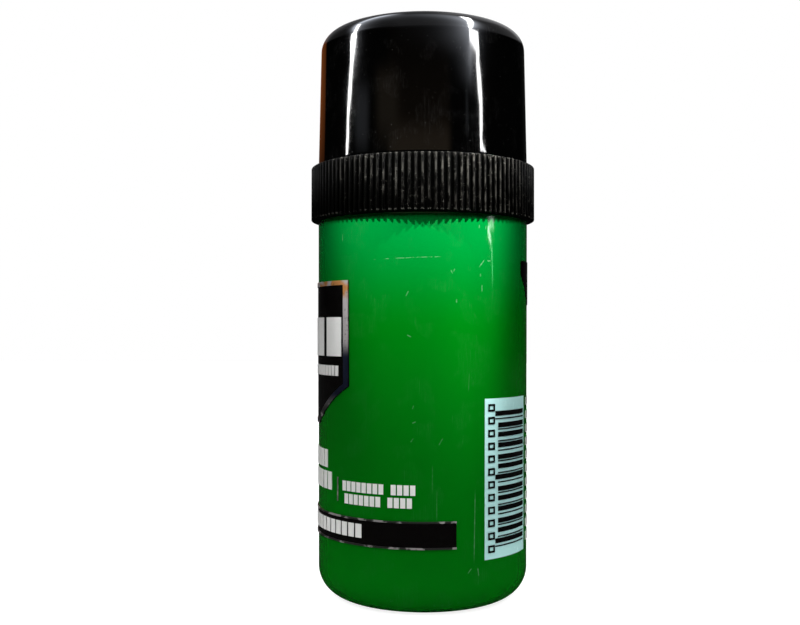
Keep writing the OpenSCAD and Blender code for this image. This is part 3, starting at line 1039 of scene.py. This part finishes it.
def strip_lamp(name, places, colour, strength, opens, closes):
    """A lamp made of a bent ribbon that is only mirrored. Each place is a point and a width in millimetres.
    Its light sets in and ends between the heights given."""
    bm = bmesh.new()
    uv = bm.loops.layers.uv.new("across_and_up")
    pairs = []
    for i, (point, width) in enumerate(places):
        p = Vector(point)
        ends = Vector(places[max(i - 1, 0)][0]), Vector(places[min(i + 1, len(places) - 1)][0])
        across = (ends[1] - ends[0]).cross(Vector((0, 0, 90 * MM)) - p).normalized() * (width * MM / 2)
        pairs.append((bm.verts.new(p - across), bm.verts.new(p + across), p.z))
    for first, second in zip(pairs, pairs[1:]):
        face = bm.faces.new((first[0], first[1], second[1], second[0]))
        corners = ((0, first[2]), (1, first[2]), (1, second[2]), (0, second[2]))
        for loop, corner in zip(face.loops, corners):
            loop[uv].uv = corner
    mesh = bpy.data.meshes.new(name)
    bm.to_mesh(mesh)
    bm.free()
    material, n = bare_material(name)
    across, up, _ = n.parts(n.node("ShaderNodeTexCoord", out="UV"))
    shape = up.rise(*opens) * up.rise(*closes) * (across - 0.5).size().rise(0.5, 0.2)
    light = n.mix(shape, (0, 0, 0), colour)
    glow = n.node("ShaderNodeEmission", None, {"Color": light, "Strength": strength})
    clear = n.node("ShaderNodeBsdfTransparent")
    both = n.node("ShaderNodeAddShader", None, {0: glow, 1: clear})
    n.node("ShaderNodeOutputMaterial", None, {"Surface": both})
    mesh.materials.append(material)
    lamp = placed(name, mesh)
    lamp.visible_camera = False
    lamp.visible_diffuse = False
    lamp.visible_shadow = False


def spot_lamp(name, place, target, half_width, half_height, radius, watts, lit):
    """A spot lamp with an oval beam of the size given at its target, which lights one collection only.
    It isn't mirrored in the pieces."""
    reach = (Vector(target) - Vector(place)).length
    data = bpy.data.lights.new(name, "SPOT")
    data.spot_size = 2 * math.atan(half_height / reach)
    data.spot_blend = 1.0
    data.shadow_soft_size = radius
    data.energy = watts
    lamp = placed(name, data)
    lamp.location = place
    lamp.rotation_euler = (Vector(target) - Vector(place)).to_track_quat("-Z", "Y").to_euler()
    lamp.scale = (half_width / half_height, 1, 1)
    lamp.visible_glossy = False
    lamp.light_linking.receiver_collection = lit


# A spot lamp's place and target, then half the width and height of its beam and its radius in millimetres
SPOTS = {
    "key_right": ((0.3157, -0.1963, 0.5052), (-0.0061, -0.0105, 0.1706), 15.2, 112.8, 4),
    "key_left": ((-0.315, -0.1976, 0.4907), (0.0068, -0.0118, 0.1561), 20, 98.6, 4),
    "rear": ((0.05, 0.42, 0.42), (0, 0, 0.1), 60, 100, 30),
}

# The strip lamps' paths from low to high, with the width in millimetres at each place
BARREL_PATH = (
    ((0.408, -0.08, 0.076), 8),
    ((0.408, -0.08, 0.08), 9),
    ((0.407, -0.083, 0.087), 9),
    ((0.407, -0.083, 0.093), 7),
    ((0.406, -0.087, 0.098), 7),
    ((0.406, -0.091, 0.101), 7),
    ((0.405, -0.095, 0.104), 7),
    ((0.402, -0.106, 0.106), 6),
    ((0.399, -0.116, 0.108), 5),
    ((0.3955, -0.127, 0.11), 4),
    ((0.3955, -0.124, 0.112), 3),
    ((0.4, -0.108, 0.113), 3),
    ((0.409, -0.065, 0.115), 3),
)
RIGHT_PATH = (
    ((0.385, -0.136, 0.168), 3),
    ((0.376, -0.16, 0.172), 3.5),
    ((0.3665, -0.18, 0.177), 13),
    ((0.366, -0.181, 0.181), 22),
    ((0.368, -0.1735, 0.188), 30),
    ((0.366, -0.1735, 0.196), 30),
    ((0.363, -0.1765, 0.204), 27),
    ((0.356, -0.188, 0.212), 26),
    ((0.35, -0.195, 0.22), 31),
    ((0.353, -0.186, 0.228), 21),
    ((0.350, -0.191, 0.231), 18),
    ((0.335, -0.215, 0.235), 19),
    ((0.317, -0.240, 0.238), 30),
    ((0.308, -0.225, 0.28), 48),
    ((0.279, -0.159, 0.372), 56),
    ((0.241, -0.08, 0.433), 56),
    ((0.192, -0.002, 0.468), 56),
    ((0.148, 0.071, 0.477), 56),
)
LEFT_PATH = (
    ((-0.409, -0.005, 0.155), 20),
    ((-0.407, -0.011, 0.166), 20),
    ((-0.406, -0.015, 0.171), 20),
    ((-0.405, -0.022, 0.175), 20),
    ((-0.405, -0.022, 0.179), 22),
    ((-0.404, -0.018, 0.187), 22),
    ((-0.402, -0.025, 0.195), 24),
    ((-0.4, -0.032, 0.202), 26),
    ((-0.398, -0.043, 0.21), 31),
    ((-0.396, -0.046, 0.218), 34),
    ((-0.394, -0.047, 0.226), 36),
    ((-0.394, -0.05, 0.23), 36),
    ((-0.391, -0.063, 0.233), 38),
    ((-0.388, -0.077, 0.235), 40),
    ((-0.372, -0.065, 0.28), 44),
    ((-0.333, -0.026, 0.352), 36),
    ((-0.298, 0.012, 0.391), 32),
    ((-0.267, 0.05, 0.413), 30),
)


class STICK_OT_stage(bpy.types.Operator):
    """Sets up the camera, the floor, the backdrop and the lamps"""

    bl_idname = "stick.stage"
    bl_label = "Stage"

    def execute(self, context):
        s = context.scene.stick_studio
        scene = context.scene
        scene.view_settings.view_transform = "Standard"
        scene.camera = self.camera(s)
        self.floor()
        scene.world = self.surroundings(s)
        self.lamps(s)
        return {"FINISHED"}

    def camera(self, s):
        data = bpy.data.cameras.new("camera")
        data.lens = s.lens
        data.sensor_width = 36
        data.clip_start = 0.005
        camera = placed("camera", data)
        camera.location = s.camera_place
        level = math.cos(s.pitch)
        forward = Vector((-math.sin(s.pan) * level, math.cos(s.pan) * level, math.sin(s.pitch)))
        camera.rotation_euler = forward.to_track_quat("-Z", "Y").to_euler()
        camera.rotation_euler.rotate_axis("Z", s.roll)
        return camera

    def floor(self):
        reach = 1.5
        mesh = bpy.data.meshes.new("floor")
        corners = [(-reach, -reach, 0), (reach, -reach, 0), (reach, reach, 0), (-reach, reach, 0)]
        mesh.from_pydata(corners, [], [(0, 1, 2, 3)])
        material, n = bare_material("floor_white")
        matt = n.node("ShaderNodeBsdfDiffuse", None, {"Color": (0.4, 0.4, 0.4)})
        glow = n.node("ShaderNodeEmission", None, {"Color": (1, 1, 1), "Strength": 0.86})
        white = n.node("ShaderNodeAddShader", None, {0: matt, 1: glow})
        # What bounces to the object comes from the floor close to its foot
        x, y, _ = n.parts(n.node("ShaderNodeTexCoord", out="Object"))
        close = ((x * x + y * y) ** 0.5).rise(75 * MM, 50 * MM)
        dark = n.node("ShaderNodeBsdfDiffuse", None, {"Color": (0.03, 0.03, 0.03)})
        pale = n.node("ShaderNodeBsdfDiffuse", None, {"Color": (0.75, 0.75, 0.75)})
        bounce = n.node("ShaderNodeMixShader", None, {0: close, 1: dark, 2: pale})
        dim = n.node("ShaderNodeBsdfDiffuse", None, {"Color": (0.012, 0.012, 0.012)})
        mirrored = n.node("ShaderNodeLightPath", out="Is Glossy Ray")
        seen = n.node("ShaderNodeLightPath", out="Is Camera Ray")
        unseen = n.node("ShaderNodeMixShader", None, {0: mirrored, 1: bounce, 2: dim})
        surface = n.node("ShaderNodeMixShader", None, {0: seen, 1: unseen, 2: white})
        n.node("ShaderNodeOutputMaterial", None, {"Surface": surface})
        mesh.materials.append(material)
        placed("floor", mesh)

    def surroundings(self, s):
        """A white backdrop to the camera, a dim room to glossy pieces and light from above to the rest."""
        world = bpy.data.worlds.new("studio")
        world.use_nodes = True
        n = Nodes(world.node_tree)
        n.tree.nodes.clear()
        path = n.node("ShaderNodeLightPath").socket.node.outputs
        seen = Value(n, path["Is Camera Ray"])
        mirrored = Value(n, path["Is Glossy Ray"]).at_least(Value(n, path["Is Transmission Ray"]))
        x, y, z = n.parts(n.node("ShaderNodeTexCoord", out="Generated"))
        room = n.mix(y.rise(0.7, 1.0), (0.0, 0.0, 0.0), (0.015, 0.015, 0.015))
        cabinet = (y - x * 0.2).rise(0.84, 0.88) * x.rise(0.02, -0.02) * z.rise(0.12, 0.24)
        room = n.mix(cabinet, room, (0.26, 0.07, 0.015))
        ceiling = z.rise(0.32, 0.38) * (x.rise(-0.75, -0.3) * 0.7 + 0.3)
        room = n.mix(ceiling, room, (0.22, 0.22, 0.23))
        rim = y.rise(0.05, 0.4) * z.rise(0.31, 0.45) * x.near(0.3, 0.12, 0.15)
        room = n.mix(rim, room, (0.6, 0.6, 0.62))
        front = y.rise(-0.4, -0.7) * z.rise(0.15, 0.19)
        wide = x.near(-0.05, 0.45, 0.15) * z.rise(0.36, 0.24)
        shelf = n.mix(z.rise(0.25, 0.225), (0.05, 0.035, 0.02), (0.26, 0.2, 0.14))
        room = n.mix(front * wide, room, shelf)
        patch = x.near(-0.6, 0.06, 0.2) * z.rise(0.295, 0.275) * z.rise(0.2, 0.25)
        room = n.mix(front * patch, room, (0.17, 0.14, 0.1))
        # The strips' soft halos fade out from the plane that each strip's reflection runs in
        over_right = x * -0.636 + y * -0.686 + z * 0.353
        over_left = x * 0.287 + y * -0.827 + z * 0.484
        high = z.rise(0.33, 0.45)
        right_halo = self.fade(over_right, 14 - z.rise(0.295, 0.315) * 7.5, 14)
        right_halo = right_halo * (z.rise(0.265, 0.315) * 0.7 + z.rise(0.312, 0.322) * 0.5 + high * 0.5)
        right_halo = right_halo * x.rise(-0.55, -0.35) * y.rise(0.3, -0.3)
        left_halo = self.fade(over_left, 25 - z.rise(0.31, 0.45) * 17, 30)
        left_halo = left_halo * z.rise(0.275, 0.33) * x.rise(-0.1, -0.3)
        blob = y.near(-0.34, 0.05, 0.15) * x.rise(-0.6, -0.8) * z.near(0.24, 0.012, 0.03)
        thread = (x * 0.656 + y * 0.755).near(0, 0.01, 0.03) * z.rise(0.222, 0.235) * z.rise(0.29, 0.25)
        halos = right_halo + left_halo + blob * 0.038 + thread * x.rise(0, 0.1) * 0.025
        halo_light = [part * s.haze_strength for part in (0.85, 0.9, 1.0)]
        room = n.node(
            "ShaderNodeMix",
            {"data_type": "RGBA", "blend_type": "ADD"},
            {0: halos, 6: room, 7: halo_light},
            out=2,
        )
        band = z.rise(0.56, 0.6) * z.rise(0.74, 0.7)
        even = n.mix(band, (s.ambient * 0.001,) * 3, (s.ambient,) * 3)
        light = n.mix(mirrored, even, room)
        light = n.mix(seen, light, (1.0, 1.0, 1.0))
        back = n.node("ShaderNodeBackground", None, {"Color": light, "Strength": 1.0})
        n.node("ShaderNodeOutputWorld", None, {"Surface": back})
        return world

    @staticmethod
    def fade(distance, on_one_side, on_the_other):
        """1 on a plane, fading out at the rates given on its two sides."""
        steepness = (distance * (0 - on_one_side)).at_most(distance * on_the_other)
        return distance.maths("EXPONENT", steepness)

    def lamps(self, s):
        plain, greenish = (1, 1, 1), (0.25, 1, 0.5)
        open_end = (0.6, 0.5)
        full, half, faint = s.strip_strength, s.strip_strength * 0.6, s.strip_strength * 0.25
        strips = {
            "right_strip": (RIGHT_PATH, plain, full, (0.165, 0.17), open_end),
            "left_strip": (LEFT_PATH, plain, full, (0.16, 0.168), open_end),
            "barrel_strip": (BARREL_PATH[3:], (0.85, 1, 0.9), half, (0.094, 0.102), (0.1165, 0.1145)),
            "barrel_strip_tail": (BARREL_PATH[:8], greenish, faint, (0.077, 0.086), (0.105, 0.099)),
        }
        for name, (places, colour, strength, opens, closes) in strips.items():
            strip_lamp(name, places, colour, strength, opens, closes)
        # The spot lamps light the barrel, its print and the ring, and not the pale pieces inside
        lit = bpy.data.collections.new("lit_by_spots")
        for piece in LIT_BY_SPOTS:
            lit.objects.link(bpy.data.objects[piece])
        for node in PRINTED:
            lit.objects.link(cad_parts[node])
        powers = {"key_right": s.key_watts, "key_left": s.side_watts, "rear": s.rear_watts}
        for name, (place, target, *sizes) in SPOTS.items():
            half_width, half_height, radius = (size * MM for size in sizes)
            spot_lamp(name, place, target, half_width, half_height, radius, powers[name], lit)


class STICK_PT_pieces(bpy.types.Panel):
    """Lists the pieces of the stick"""

    bl_label = "Deodorant stick"
    bl_idname = "STICK_PT_pieces"
    bl_space_type = "VIEW_3D"
    bl_region_type = "UI"
    bl_category = "Stick"

    def draw(self, context):
        for group in SETTINGS:
            box = self.layout.box()
            settings = getattr(context.scene, group)
            for name in settings.__annotations__:
                box.prop(settings, name)
        for step in STEPS:
            self.layout.operator(step.bl_idname)


SETTINGS = {
    "stick_barrel": BarrelSettings,
    "stick_ring": RingSettings,
    "stick_cap": CapSettings,
    "stick_print": PrintSettings,
    "stick_inner": InnerSettings,
    "stick_studio": StudioSettings,
}
STEPS = (
    STICK_OT_barrel,
    STICK_OT_cap,
    STICK_OT_grip_ring,
    STICK_OT_print,
    STICK_OT_inside,
    STICK_OT_stage,
)


def register():
    for part in (*SETTINGS.values(), *STEPS, STICK_PT_pieces):
        bpy.utils.register_class(part)
    for name, group in SETTINGS.items():
        setattr(bpy.types.Scene, name, PointerProperty(type=group))


def unregister():
    for name in SETTINGS:
        delattr(bpy.types.Scene, name)
    for part in (STICK_PT_pieces, *STEPS, *SETTINGS.values()):
        bpy.utils.unregister_class(part)


def main():
    register()
    for step in STEPS:
        family, name = step.bl_idname.split(".")
        getattr(getattr(bpy.ops, family), name)()


if __name__ == "__main__":
    main()
